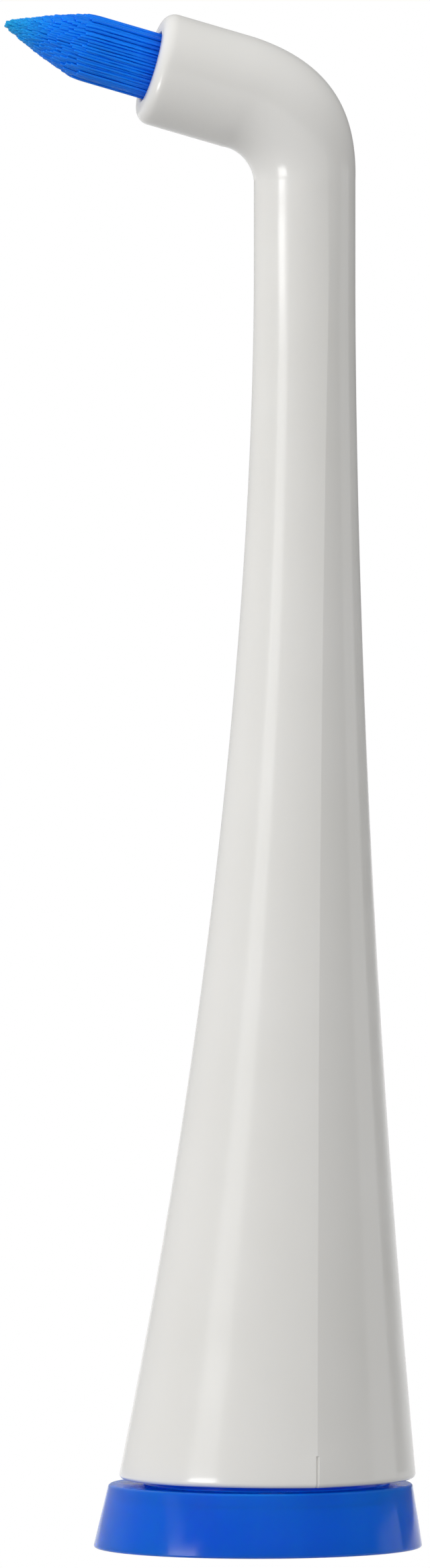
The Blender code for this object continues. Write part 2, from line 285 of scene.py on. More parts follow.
# A section through a piece: its centre, the lean of its plane, its half sizes, the angle of the parting
# line round it, how far that line stands out as a share of the half width, and the groove as 0 or 1
Station = namedtuple("Station", "x z lean half_width half_depth parting raised groove")
UPRIGHT = 0.0


# ---------------------------------------------------------------------------------------- camera and light


def direction(azimuth, elevation):
    """Unit vector from the object towards a place given in degrees: azimuth 0 is -Y and 90 is +X."""
    a, e = math.radians(azimuth), math.radians(elevation)
    return Vector((math.sin(a) * math.cos(e), -math.cos(a) * math.cos(e), math.sin(e)))


def make_camera():
    data = bpy.data.cameras.new("camera")
    data.sensor_width = SENSOR
    data.lens = SENSOR * VIEW_DISTANCE / VIEW_HEIGHT
    camera = bpy.data.objects.new("camera", data)
    bpy.context.scene.collection.objects.link(camera)
    back = direction(VIEW_AZIMUTH, VIEW_ELEVATION)
    camera.rotation_euler = (-back).to_track_quat("-Z", "Y").to_euler()
    aim = CENTRE + camera.rotation_euler.to_matrix() @ Vector((VIEW_RIGHT, -VIEW_DOWN, 0))
    camera.location = aim + back * VIEW_DISTANCE
    bpy.context.scene.camera = camera


def softbox(name, lamp, lights=True, reflects=True):
    """A rectangular lamp, which can be left out of the light or out of the reflections."""
    data = bpy.data.lights.new(name, "AREA")
    data.shape = "RECTANGLE"
    data.size, data.size_y = lamp.width, lamp.height
    data.energy = lamp.radiance * math.pi * lamp.width * lamp.height
    box = bpy.data.objects.new(name, data)
    bpy.context.scene.collection.objects.link(box)
    out = direction(lamp.azimuth, lamp.elevation)
    box.location = CENTRE + Vector((0, 0, lamp.rise)) + out * lamp.distance
    facing = (-out).to_track_quat("-Z", "Y").to_matrix()
    box.rotation_euler = (facing @ Matrix.Rotation(math.radians(lamp.tilt), 3, "Z")).to_euler()
    box.visible_camera = False
    box.visible_diffuse = lights
    box.visible_glossy = reflects


def dot(tree, vector, fixed):
    made = tree.nodes.new("ShaderNodeVectorMath")
    made.operation = "DOT_PRODUCT"
    made.inputs[1].default_value = fixed
    tree.links.new(vector, made.inputs[0])
    return made.outputs["Value"]


def worked_out(tree, operation, *values):
    """The result of a Math node, from other nodes' values and fixed numbers."""
    made = tree.nodes.new("ShaderNodeMath")
    made.operation = operation
    for socket, value in zip(made.inputs, values):
        if isinstance(value, float):
            socket.default_value = value
        else:
            tree.links.new(value, socket)
    return made.outputs[0]


def make_world():
    """Pure white where it is seen. As light it gains towards the upper left, and in reflections it is
    dimmer but for the backdrop.
    """
    world = bpy.data.worlds.new("studio")
    bpy.context.scene.world = world
    world.use_nodes = True
    tree = world.node_tree
    tree.nodes.clear()
    place = tree.nodes.new("ShaderNodeTexCoord").outputs["Generated"]
    ray = tree.nodes.new("ShaderNodeLightPath").outputs
    gain = dot(tree, place, direction(WORLD_AZIMUTH, 0) * WORLD_SIDE + Vector((0, 0, WORLD_RISE)))
    around = worked_out(tree, "ADD", gain, WORLD_LEVEL)
    share = between(tree, ray["Is Glossy Ray"], 1.0, WORLD_GLOSS, 0.0, 1.0)
    behind = dot(tree, place, direction(BACKDROP_AZIMUTH, 0))
    backdrop = between(tree, behind, 0.0, BACKDROP_LEVEL, BACKDROP_EDGE, BACKDROP_MIDDLE)
    dimmed = worked_out(tree, "MULTIPLY", around, share)
    strength = worked_out(tree, "MULTIPLY_ADD", backdrop, ray["Is Glossy Ray"], dimmed)
    light, seen = background(tree), background(tree)
    mix = tree.nodes.new("ShaderNodeMixShader")
    out = tree.nodes.new("ShaderNodeOutputWorld")
    tree.links.new(strength, light.inputs["Strength"])
    tree.links.new(ray["Is Camera Ray"], mix.inputs["Fac"])
    tree.links.new(light.outputs[0], mix.inputs[1])
    tree.links.new(seen.outputs[0], mix.inputs[2])
    tree.links.new(mix.outputs[0], out.inputs["Surface"])


def background(tree):
    made = tree.nodes.new("ShaderNodeBackground")
    made.inputs["Color"].default_value = (1, 1, 1, 1)
    return made


def make_floor():
    """A plain white surface, low enough to leave room for the ring when it is pulled off.

    It is clear from below, where it would hide the foot.
    """
    bm = bmesh.new()
    bmesh.ops.create_grid(bm, x_segments=1, y_segments=1, size=FLOOR_HALF_WIDTH)
    mesh = bpy.data.meshes.new("floor")
    bm.to_mesh(mesh)
    bm.free()
    floor = bpy.data.objects.new("floor", mesh)
    bpy.context.scene.collection.objects.link(floor)
    floor.location.z = cad_low.z - RING_TRAVEL - FLOOR_CLEARANCE
    floor.visible_diffuse = False
    white = bpy.data.materials.new("floor_white")
    white.use_nodes = True
    tree = white.node_tree
    tree.nodes.clear()
    out = tree.nodes.new("ShaderNodeOutputMaterial")
    glow = tree.nodes.new("ShaderNodeEmission")
    clear = tree.nodes.new("ShaderNodeBsdfTransparent")
    side = tree.nodes.new("ShaderNodeNewGeometry")
    mix = tree.nodes.new("ShaderNodeMixShader")
    tree.links.new(side.outputs["Backfacing"], mix.inputs["Fac"])
    tree.links.new(glow.outputs[0], mix.inputs[1])
    tree.links.new(clear.outputs[0], mix.inputs[2])
    tree.links.new(mix.outputs[0], out.inputs["Surface"])
    mesh.materials.append(white)


def make_light():
    bpy.context.scene.view_settings.view_transform = "Standard"
    make_world()
    make_floor()
    for name, lamp in WINDOWS.items():
        softbox(name, lamp)
    for name, lamp in FILLS.items():
        softbox(name, lamp, reflects=False)
    for name, lamp in GLINTS.items():
        softbox(name, lamp, lights=False)


# ------------------------------------------------------------------------------------------------ sections


def flare(z):
    """1 where the cone would meet the ground, falling to 0 at the neck."""
    return max(0.0, 1 - z / FLARE_TOP_Z) ** FLARE_POWER


def parting_angle(x, z, half_width):
    """Where the parting plane cuts the section, as an angle from its back."""
    return math.acos((PARTING_X + PARTING_SLOPE * z - x) / half_width)


NECK_PARTING = parting_angle(NECK_X, FLARE_TOP_Z, NECK_RADIUS)


def skirt(z, inset=0.0, raised=0.0, groove=0.0):
    """The shell's section at height z, drawn in by inset."""
    half_width = NECK_RADIUS + FLARE_RADIUS * flare(z)
    half_depth = half_width * (1 - FLARE_FLATTENING * flare(z))
    x = NECK_X - FLARE_SHIFT * flare(z)
    parting = parting_angle(x, z, half_width)
    return Station(x, z, UPRIGHT, half_width - inset, half_depth - inset, parting, raised, groove)


def circle(x, z, radius, lean=UPRIGHT, raised=0.0):
    return Station(x, z, lean, radius, radius, NECK_PARTING, raised, 0.0)


def head_point(distance):
    """The point on the head's axis this far beyond the mouth, as (x, z)."""
    reach = HEAD_REACH + distance
    return NECK_X - reach * math.cos(HEAD_RISE), BEND_CORNER_Z + reach * math.sin(HEAD_RISE)


def across_head(distance, radius):
    x, z = head_point(distance)
    return circle(x, z, radius, HEAD_TURN)


def parting_raise(z):
    """How far the parting edge stands out: fully up to PARTING_FADE_Z, then fading to nothing."""
    share = (z - PARTING_FADE_Z) / (BEND_CORNER_Z - PARTING_FADE_Z)
    share = min(1.0, max(0.0, share))
    return PARTING_RAISE * (1 - share * share * (3 - 2 * share))


def bend_stations():
    """The sections round the bend, fuller on its outer side at the middle."""
    tangent = BEND_RADIUS * math.tan(HEAD_TURN / 2)
    stations = []
    for share in even(BEND_STEPS, 0, 1):
        turn = HEAD_TURN * share
        swell = BEND_SWELL * math.sin(math.pi * share) ** 2
        radius = NECK_RADIUS + (HEAD_RADIUS - NECK_RADIUS) * share + swell / 2
        reach = BEND_RADIUS + swell / 2
        x = NECK_X - BEND_RADIUS + reach * math.cos(turn)
        z = BEND_CORNER_Z - tangent + reach * math.sin(turn)
        stations.append(circle(x, z, radius, turn, parting_raise(z) * (1 - share)))
    return stations


def even(count, low, high):
    """Evenly spaced values from low to high, count steps apart."""
    return [low + (high - low) * i / count for i in range(count + 1)]


def section_point(station, angle, outset=0.0):
    """The point at this angle round the section, outset beyond it, in metres in the frame."""
    across = Vector((math.cos(station.lean), 0, math.sin(station.lean)))
    point = Vector((station.x, 0, station.z)) + across * ((station.half_width + outset) * math.cos(angle))
    point.y = (station.half_depth + outset) * math.sin(angle)
    return point * MM + Vector((BASE_X, 0, 0))


def round_points(station, segments):
    return [section_point(station, 2 * math.pi * i / segments) for i in range(segments)]


def parted_half(station):
    """(angle, outset) round one side of the shell, from the back past the parting line to the front."""
    line = station.parting
    radius = station.half_width
    near = 2 * GROOVE_HALF_WIDTH / radius
    angles = even(BACK_COLUMNS, 0, line - near) + [line - near / 2, line, line + near / 2]
    angles += even(FRONT_COLUMNS, line + near, math.pi)
    side = -GROOVE_DEPTH * GROOVE_SIDE_SHARE
    depths = (GROOVE_LIP, side, -GROOVE_DEPTH, side, GROOVE_LIP)
    groove = {BACK_COLUMNS + i: depth for i, depth in enumerate(depths)}
    points = []
    for i, angle in enumerate(angles):
        away = abs(angle - line)
        furthest = line if angle < line else math.pi - line
        window = (1 + math.cos(math.pi * away / furthest)) / 2
        raised = station.raised * math.exp(-away / PARTING_REACH) * window
        points.append((angle, radius * raised + station.groove * groove.get(i, 0.0)))
    return points


def parted_points(station):
    """The shell's whole section, with the parting line on both sides."""
    half = parted_half(station)
    other = [(-angle, outset) for angle, outset in reversed(half[1:-1])]
    return [section_point(station, angle, outset) for angle, outset in half + other]


def bridge(bm, rings, looped=False):
    """Faces between rings of vertices, capped at both ends, or joined end to end if looped."""
    pairs = list(zip(rings, rings[1:]))
    if looped:
        pairs.append((rings[-1], rings[0]))
    for low, high in pairs:
        for i in range(len(low)):
            j = (i + 1) % len(low)
            bm.faces.new((low[i], low[j], high[j], high[i]))
    if not looped:
        bm.faces.new(reversed(rings[0]))
        bm.faces.new(rings[-1])


def skinned(rings, looped=False):
    """A mesh through rings of points, capped at both ends, or joined end to end if looped."""
    bm = bmesh.new()
    bridge(bm, [[bm.verts.new(point) for point in ring] for ring in rings], looped)
    bmesh.ops.recalc_face_normals(bm, faces=bm.faces)
    return bm


def turned(profile, x):
    """A solid turned about an upright axis at x, from (radius, height) pairs, bottom to top."""
    return skinned([round_points(circle(x, z, r), INNER_SEGMENTS) for r, z in profile])


def block(size, centre):
    bm = bmesh.new()
    bmesh.ops.create_cube(bm, size=MM)
    bmesh.ops.scale(bm, vec=size, verts=bm.verts)
    bmesh.ops.translate(bm, vec=Vector(centre) * MM, verts=bm.verts)
    return bm


def shifted(bm):
    """Moves a mesh made round the base axis to its place in the frame."""
    bmesh.ops.translate(bm, vec=(BASE_X, 0, 0), verts=bm.verts)
    return bm


def corner(radius, height, round_by, start, steps=5):
    """A quarter round about (radius, height), from start degrees up, as pairs like that one."""
    pairs = []
    for i in range(steps + 1):
        angle = math.radians(start + 90 * i / steps)
        pairs.append((radius + round_by * math.cos(angle), height + round_by * math.sin(angle)))
    return pairs


# -------------------------------------------------------------------------------------------------- pieces


def smooth(mesh, sharp_above=SHARP_ABOVE):
    """Shades the mesh smooth, but for the edges where it turns by more than this many degrees."""
    mesh.shade_smooth()
    mesh.set_sharp_from_angle(angle=math.radians(sharp_above))


def piece(name, bm, finish, sharp_above=SHARP_ABOVE):
    mesh = bpy.data.meshes.new(name)
    bm.to_mesh(mesh)
    bm.free()
    smooth(mesh, sharp_above)
    obj = bpy.data.objects.new(name, mesh)
    bpy.context.scene.collection.objects.link(obj)
    mesh.materials.append(finish)
    return obj


def combine(target, operation, bm):
    """Joins a shape to target, or cuts it away, and keeps the result as target's own mesh."""
    mesh = bpy.data.meshes.new("helper")
    bm.to_mesh(mesh)
    bm.free()
    helper = bpy.data.objects.new("helper", mesh)
    bpy.context.scene.collection.objects.link(helper)
    modifier = target.modifiers.new("combine", "BOOLEAN")
    modifier.operation = operation
    modifier.solver = "EXACT"
    modifier.object = helper
    bake_modifiers(target)
    bpy.data.objects.remove(helper)


def bake_modifiers(obj):
    """Replaces the object's mesh with what its modifiers make of it."""
    view = bpy.context.evaluated_depsgraph_get()
    made = bpy.data.meshes.new_from_object(obj.evaluated_get(view))
    obj.modifiers.clear()
    obj.data = made


def settle(obj, body, slot, *nodes):
    """The piece rides on a body and stands for CAD nodes, which it hides. The slot is not used."""
    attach(obj, body)
    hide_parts(*nodes)


def inside_stations():
    """The shell's inside, from the blind end in the neck down the socket's bore and skirt to the foot."""
    core = even(2, CORE_TOP_Z, CORE_TOP_Z - CORE_RADIUS / 2)
    stations = [circle(NECK_X, z, CORE_RADIUS * share) for z, share in zip(core, CORE_ROUNDING)]
    stations.append(circle(SHAFT_X, BORE_TOP_Z + BORE_CORNER, CORE_RADIUS + BORE_CORNER))
    for radius, z in reversed(corner(BORE_RADIUS - BORE_CORNER, BORE_TOP_Z - BORE_CORNER, BORE_CORNER, 0)):
        stations.append(circle(SHAFT_X, z, radius))
    stations.append(circle(SHAFT_X, SHELF_Z, BORE_RADIUS))
    stations += [skirt(z, WALL) for z in even(INSIDE_STEPS, SHELF_Z, SHELL_FOOT_Z + LIP_ROUND)]
    stations.append(skirt(SHELL_FOOT_Z + LIP_ROUND / 3, WALL - LIP_ROUND / 3))
    stations.append(skirt(SHELL_FOOT_Z, WALL - LIP_ROUND))
    return stations


def outside_stations():
    """The shell's outside, from the rounded lip of the foot up the skirt and neck and round the bend."""
    lip_z = SHELL_FOOT_Z + LIP_ROUND
    stations = []
    for angle in even(LIP_STEPS, 0, math.pi / 2)[:-1]:
        z = lip_z - LIP_ROUND * math.cos(angle)
        stations.append(skirt(z, LIP_ROUND * (1 - math.sin(angle)), parting_raise(z), 1.0))
    groove_top = SHELL_FOOT_Z + GROOVE_HEIGHT
    stations += [skirt(z, 0, parting_raise(z), 1.0) for z in even(GROOVE_STEPS, lip_z, groove_top)]
    above_groove = groove_top + GROOVE_HALF_WIDTH
    stations += [skirt(z, 0, parting_raise(z)) for z in even(FLARE_STEPS, above_groove, FLARE_TOP_Z)]
    bend = bend_stations()
    neck = even(NECK_STEPS, FLARE_TOP_Z, bend[0].z)[1:-1]
    return stations + [circle(NECK_X, z, NECK_RADIUS, UPRIGHT, parting_raise(z)) for z in neck] + bend


def head_stations():
    """The head's outside up to its rounded rim, then over the mouth's edge and down the tuft's hole."""
    bend_end = BEND_RADIUS * math.tan(HEAD_TURN / 2) - HEAD_REACH
    stations = [across_head(d, HEAD_RADIUS) for d in even(HEAD_STEPS, bend_end, -RIM_ROUND)[1:-1]]
    for inset, distance in corner(0, -RIM_ROUND, RIM_ROUND, 0, RIM_STEPS):
        stations.append(across_head(distance, HEAD_RADIUS - RIM_ROUND + inset))
    for inset, distance in corner(0, -GAP, GAP, 90, MOUTH_STEPS):
        stations.append(across_head(distance, TUFT_HOLE_RADIUS + GAP + inset))
    return stations + [across_head(-TUFT_HOLE_DEPTH, TUFT_HOLE_RADIUS)]


def shell_moulding(finish):
    stations = inside_stations() + outside_stations() + head_stations()
    obj = piece("shell_moulding", skinned([parted_points(s) for s in stations]), finish)
    sharpen_parting_line(obj)
    settle(obj, "head", "shell", "outer_shell")


def sharpen_parting_line(obj):
    """Keeps a crisp edge where the two halves of the mould met, up to the bend."""
    mesh = obj.data
    around = 2 * len(parted_half(skirt(FLARE_TOP_Z))) - 2
    line = BACK_COLUMNS + 2
    sharp = mesh.attributes.get("sharp_edge") or mesh.attributes.new("sharp_edge", "BOOLEAN", "EDGE")
    for edge in mesh.edges:
        column, other = (v % around for v in edge.vertices)
        below_bend = mesh.vertices[edge.vertices[0]].co.z < FLARE_TOP_Z * MM
        if column == other and column in (line, around - line) and below_bend:
            sharp.data[edge.index].value = True


def ring_band(z, inset):
    """The ring's outer section at height z, drawn in by inset."""
    share = z / RING_HEIGHT
    radius = RING_FOOT_RADIUS + (RING_TOP_RADIUS - RING_FOOT_RADIUS) * share - inset
    return Station(RING_TOP_SHIFT * share, z, UPRIGHT, radius, radius - RING_FLATTENING, 0, 0, 0)


def ring_moulding(finish):
    """Sections from the foot's inner edge round the band, up and down the collar, and over the web."""
    collar_out = WALL + GAP
    collar_in = collar_out + COLLAR_WALL
    web_z = RING_HEIGHT - RING_WEB
    small = RING_EDGE / 2
    lead_z = COLLAR_TOP_Z - COLLAR_LEAD
    inner = RING_BAND + RING_DRAFT
    sections = [ring_band(z, RING_BAND + d) for d, z in reversed(corner(-small, small, small, 270, 3))]
    sections += [ring_band(z, RING_EDGE - d) for d, z in corner(0, RING_EDGE, RING_EDGE, 270)]
    sections += [ring_band(z, RING_EDGE - d) for d, z in corner(0, RING_HEIGHT - RING_EDGE, RING_EDGE, 0)]
    sections += [skirt(RING_HEIGHT, collar_out - small / 2), skirt(RING_HEIGHT + small / 2, collar_out)]
    sections += [skirt(z, collar_out) for z in even(COLLAR_STEPS, RING_HEIGHT + small, lead_z)]
    sections += [skirt(z, collar_out + COLLAR_LEAD - d) for d, z in corner(0, lead_z, COLLAR_LEAD, 0)[1:]]
    sections += [skirt(COLLAR_TOP_Z, collar_in - small / 2), skirt(COLLAR_TOP_Z - small / 2, collar_in)]
    sections += [skirt(z, collar_in) for z in even(COLLAR_STEPS, COLLAR_TOP_Z - small, web_z + small)]
    sections += [skirt(web_z, collar_in - small / 2), ring_band(web_z, inner + small)]
    sections.append(ring_band(web_z - small, inner))
    rings = [round_points(s, ROUND_SEGMENTS) for s in sections]
    ring = piece("ring_moulding", skinned(rings, looped=True), finish)
    foot = RING_HEIGHT + COLLAR_SLOT_RISE
    top = COLLAR_TOP_Z + CUTTER_REACH
    length = 4 * RING_FOOT_RADIUS
    centre = (skirt(COLLAR_TOP_Z).x, 0, (foot + top) / 2)
    combine(ring, "DIFFERENCE", shifted(block((length, COLLAR_SLOT, top - foot), centre)))
    combine(ring, "DIFFERENCE", shifted(block((COLLAR_SLOT, length, top - foot), centre)))
    smooth(ring.data)
    settle(ring, "ring", "ring", "colour_ring")


def socket_moulding(finish):
    top = BORE_TOP_Z - BORE_CORNER - GAP
    flange_top = SHELF_Z - GAP
    flange_foot = flange_top - FLANGE_HEIGHT
    edge = BARREL_EDGE
    profile = corner(LOWER_BARREL_RADIUS - edge, SOCKET_FOOT_Z + edge, edge, 270)
    profile += [(LOWER_BARREL_RADIUS, flange_foot - edge), (LOWER_BARREL_RADIUS + edge, flange_foot)]
    profile += corner(FLANGE_RADIUS - edge, flange_foot + edge, edge, 270)
    profile += corner(FLANGE_RADIUS - edge, flange_top - edge, edge, 0)
    profile.append((BARREL_RADIUS, flange_top))
    profile += corner(BARREL_RADIUS - BORE_CORNER, top - BORE_CORNER, BORE_CORNER, 0)
    socket = piece("socket_moulding", turned(profile, SHAFT_X), finish)

    # The slots come first: cut after the bore, one of them keeps a thin film
    slot = (LOWER_BARREL_RADIUS, 4 * LOWER_BARREL_RADIUS, CLIP_SLOT_HEIGHT)
    for side in (-1, 1):
        centre = (SHAFT_X + side * (SLOT_INNER_X + LOWER_BARREL_RADIUS / 2), 0, CLIP_Z)
        combine(socket, "DIFFERENCE", shifted(block(slot, centre)))
    below = SOCKET_FOOT_Z - SHAFT_LEAD
    bore = turned([(SHAFT_RADIUS, below), (SHAFT_RADIUS, SHAFT_DEPTH_Z)], SHAFT_X)
    for vert in bore.verts:
        vert.co.y = max(vert.co.y, -SHAFT_FLAT * MM)
    combine(socket, "DIFFERENCE", bore)
    wide, narrow = SHAFT_RADIUS + SHAFT_LEAD + SHAFT_CHAMFER, SHAFT_RADIUS - SHAFT_LEAD
    combine(socket, "DIFFERENCE", turned([(wide, below), (narrow, below + wide - narrow)], SHAFT_X))
    smooth(socket.data)
    settle(socket, "head", "socket", "shaft_socket")


def spoke_reach(angle):
    """How far the skirt's outer surface lies from the shaft's axis in this direction, at the spider."""
    section = skirt(SPIDER_Z)
    offset = SHAFT_X - section.x
    a = (math.cos(angle) / section.half_width) ** 2 + (math.sin(angle) / section.half_depth) ** 2
    b = offset * math.cos(angle) / section.half_width**2
    c = (offset / section.half_width) ** 2 - 1
    return (-b + math.sqrt(b * b - a * c)) / a


def spider_moulding(finish):
    """A rim that fits the skirt, a hub round the socket's foot, and the spokes between them."""
    top = SPIDER_Z + SPIDER_HEIGHT
    fit = WALL + GAP
    inside = fit + SPIDER_RIM
    rim = [skirt(SPIDER_Z, fit), skirt(top, fit), skirt(top, inside), skirt(SPIDER_Z, inside)]
    rings = [round_points(s, ROUND_SEGMENTS) for s in rim]
    spider = piece("spider_moulding", skinned(rings, looped=True), finish)
    bore = LOWER_BARREL_RADIUS + GAP
    edge = bore + SPIDER_HUB_WALL
    hub = [circle(SHAFT_X, z, r) for r, z in ((bore, SPIDER_Z), (bore, top), (edge, top), (edge, SPIDER_Z))]
    combine(spider, "UNION", skinned([round_points(s, INNER_SEGMENTS) for s in hub], looped=True))
    middle = Vector((SHAFT_X, 0, (SPIDER_Z + top) / 2))
    for k in range(SPOKES):
        angle = 2 * math.pi * (k + 0.5) / SPOKES
        start = bore + SPIDER_HUB_WALL / 2
        end = spoke_reach(angle) - fit - SPIDER_RIM / 2
        spoke = block((end - start, SPOKE_WIDTH, SPOKE_HEIGHT), ((start + end) / 2, 0, 0))
        bmesh.ops.rotate(spoke, verts=spoke.verts, matrix=Matrix.Rotation(angle, 3, "Z"))
        bmesh.ops.translate(spoke, verts=spoke.verts, vec=middle * MM)
        combine(spider, "UNION", shifted(spoke))
    bevel = spider.modifiers.new("edges", "BEVEL")
    bevel.width = SPIDER_EDGE * MM
    bevel.segments = 2
    bevel.limit_method = "ANGLE"
    bake_modifiers(spider)
    smooth(spider.data)
    settle(spider, "head", "socket", "socket_spider")


def wire(name, points, finish):
    """A round wire through the points, with rounded ends."""
    axis = [Vector(p) for p in points]
    start = [(-math.cos(a), math.sin(a)) for a in WIRE_END_ANGLES]
    end = [(math.cos(a), math.sin(a)) for a in reversed(WIRE_END_ANGLES)]
    shapes = [start] + [[(0.0, 1.0)]] * (len(axis) - 2) + [end]
    rings = []
    for i, shape in enumerate(shapes):
        along = (axis[min(len(axis) - 1, i + 1)] - axis[max(0, i - 1)]).normalized()
        level = Vector((along.y, -along.x, 0)).normalized()
        upward = level.cross(along)
        for shift, share in shape:
            middle = axis[i] + along * (shift * WIRE_RADIUS * WIRE_END_LENGTH)
            ring = []
            for k in range(WIRE_SIDES):
                a = 2 * math.pi * k / WIRE_SIDES
                spot = middle + (level * math.cos(a) + upward * math.sin(a)) * (WIRE_RADIUS * share)
                ring.append(spot * MM + Vector((BASE_X, 0, 0)))
            rings.append(ring)
    return piece(name, skinned(rings), finish, SHARP_ABOVE_ON_WIRES)


def wire_clip(finish):
    """The bow, and two arms that start beside its ends, run through the slots and kink outwards."""
    bow_end = math.acos(ARM_X / CLIP_BOW_RADIUS)
    bow = []
    for angle in even(BOW_STEPS, bow_end, math.pi - bow_end):
        bow.append((SHAFT_X + CLIP_BOW_RADIUS * math.cos(angle), CLIP_BOW_RADIUS * math.sin(angle), CLIP_Z))
    settle(wire("bow_wire", bow, finish), "head", "clip", "clip_bow")
    start = CLIP_BOW_RADIUS * math.sin(bow_end) - GAP - WIRE_RADIUS
    for side, word in ((-1, "left"), (1, "right")):
        x = SHAFT_X + side * ARM_X
        arm = [(x, start, CLIP_Z), (x, 0, CLIP_Z)]
        for share in even(KINK_STEPS, 0, 1):
            y = ARM_END_Y + 2 * ARM_KINK * (1 - share)
            arm.append((x + side * ARM_KINK * share**2, y, CLIP_Z))
        settle(wire(f"{word}_arm_wire", arm, finish), f"clip_{word}", "clip", f"clip_arm_{word}")


def head_frame(along, across, side):
    """A point given along the head's axis from the mouth, across it upwards, and sideways, in the frame."""
    x, z = head_point(along)
    up = Vector((math.sin(HEAD_RISE), 0, math.cos(HEAD_RISE)))
    point = Vector((x, 0, z)) + up * across + Vector((0, side, 0))
    return point * MM + Vector((BASE_X, 0, 0))


def anchor_plate(finish):
    foot = -TUFT_HOLE_DEPTH + GAP
    bm = block((ANCHOR_LENGTH, ANCHOR_THICKNESS, ANCHOR_HEIGHT), (0, 0, foot + ANCHOR_HEIGHT / 2))
    bmesh.ops.bevel(bm, geom=list(bm.edges), offset=ANCHOR_EDGE * MM, segments=3, affect="EDGES")
    for vert in bm.verts:
        vert.co = head_frame(vert.co.z / MM, vert.co.x / MM, vert.co.y / MM)
    bmesh.ops.recalc_face_normals(bm, faces=bm.faces)
    settle(piece("anchor_plate", bm, finish), "head", "anchor", "tuft_anchor")


def tapering(along):
    """0 on the straight part of the tuft, growing to 1 at its tip."""
    share = (along - TUFT_STRAIGHT) / (TUFT_LENGTH - TUFT_STRAIGHT)
    return min(1.0, max(0.0, share))


def tuft_outline(along):
    """The trimmed tuft's radius this far beyond the mouth."""
    taper = 1 - tapering(along) ** TUFT_TAPER_POWER
    return TUFT_TIP_RADIUS + (TUFT_RADIUS - TUFT_TIP_RADIUS) * taper


def gathering(along):
    """How far from the axis the filaments are here, as a share of how far they are at the mouth."""
    return 1 - TUFT_GATHER * tapering(along) ** TUFT_GATHER_POWER


def filament_length(radius):
    """How far beyond the mouth a filament at this radius is trimmed."""
    low, high = 0.0, TUFT_LENGTH
    for _ in range(TRIM_HALVINGS):
        middle = (low + high) / 2
        if radius * gathering(middle) < tuft_outline(middle):
            low = middle
        else:
            high = middle
    return low


def filament_roots(draws):
    """Places of the filaments across the tuft: a close packing, a little disturbed."""
    places = []
    row_spacing = FILAMENT_SPACING * math.sin(math.pi / 3)
    rows = int(TUFT_RADIUS / row_spacing) + 1
    columns = int(TUFT_RADIUS / FILAMENT_SPACING) + 1
    for row in range(-rows, rows + 1):
        for column in range(-columns, columns + 1):
            u = (column + (row % 2) / 2) * FILAMENT_SPACING
            u += draws.uniform(-FILAMENT_SCATTER, FILAMENT_SCATTER)
            v = row * row_spacing + draws.uniform(-FILAMENT_SCATTER, FILAMENT_SCATTER)
            if math.hypot(u, v) < TUFT_RADIUS - FILAMENT_RADIUS * FILAMENT_EDGE_SHARE:
                places.append((u, v))
    return places


def filament_sections(u, v, length, stray):
    """(along, up, side, radius) down one filament, from its held end to its rounded tip.

    It strays from its place by this much at the middle of the tuft's length.
    """
    places = [-TUFT_HOLE_DEPTH + 2 * GAP, PARTED_AT, TOGETHER_AT]
    places += even(FILAMENT_STEPS, 0.0, length - TIP_ROUND)
    shape = [(along, 1.0) for along in places] + [(length - back, share) for back, share in TIP_SHAPE]
    sections = []
    for along, share in shape:
        sway = max(0.0, along) / (TUFT_LENGTH / 2)
        up = u * gathering(along) + stray[0] * sway
        side = v * gathering(along) + stray[1] * sway
        if along <= PARTED_AT:
            side = math.copysign(PARTED_BY + abs(side) * PARTED_SQUEEZE, side)
        sections.append((along, up, side, FILAMENT_RADIUS * share))
    return sections


def bristles(finish):
    """Single nylon filaments: parted round the anchor plate at the root and trimmed to a point.

    Each vertex keeps its filament's tone, and how far along the tuft it lies, for the material.
    """
    draws = random.Random(FILAMENT_SEED)
    bm = bmesh.new()
    tone_layer = bm.verts.layers.float.new("tone")
    along_layer = bm.verts.layers.float.new("along")
    for u, v in filament_roots(draws):
        length = filament_length(math.hypot(u, v)) - abs(draws.gauss(0, TRIM_SCATTER))
        tone = draws.random()
        stray = (draws.gauss(0, FILAMENT_STRAY), draws.gauss(0, FILAMENT_STRAY))
        rings = []
        for along, up, side, radius in filament_sections(u, v, length, stray):
            ring = []
            for k in range(FILAMENT_SIDES):
                a = 2 * math.pi * k / FILAMENT_SIDES
                point = head_frame(along, up + radius * math.cos(a), side + radius * math.sin(a))
                vert = bm.verts.new(point)
                vert[tone_layer] = tone
                vert[along_layer] = max(0.0, along) / TUFT_LENGTH
                ring.append(vert)
            rings.append(ring)
        bridge(bm, rings)
    bmesh.ops.recalc_face_normals(bm, faces=bm.faces)
    tuft = piece("bristles", bm, finish, SHARP_ABOVE_ON_WIRES)
    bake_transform(tuft)
    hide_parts("bristle_tuft", "tuft_root")


# ----------------------------------------------------------------------------------------------- materials


def start_material(name, metallic=0.0):
    """A new material, with its node tree and its Principled shader."""
    made = bpy.data.materials.new(name)
    made.use_nodes = True
    shader = made.node_tree.nodes["Principled BSDF"]
    shader.inputs["Metallic"].default_value = metallic
    return made, made.node_tree, shader


def noise(tree, size, detail, stretch=(1, 1, 1)):
    """Noise with grains of this size in millimetres, drawn out along an axis whose stretch is below 1."""
    place = tree.nodes.new("ShaderNodeTexCoord")
    mapping = tree.nodes.new("ShaderNodeMapping")
    mapping.inputs["Scale"].default_value = stretch
    made = tree.nodes.new("ShaderNodeTexNoise")
    made.inputs["Scale"].default_value = 1 / (size * MM)
    made.inputs["Detail"].default_value = detail
    tree.links.new(place.outputs["Object"], mapping.inputs["Vector"])
    tree.links.new(mapping.outputs["Vector"], made.inputs["Vector"])
    return made.outputs["Fac"]


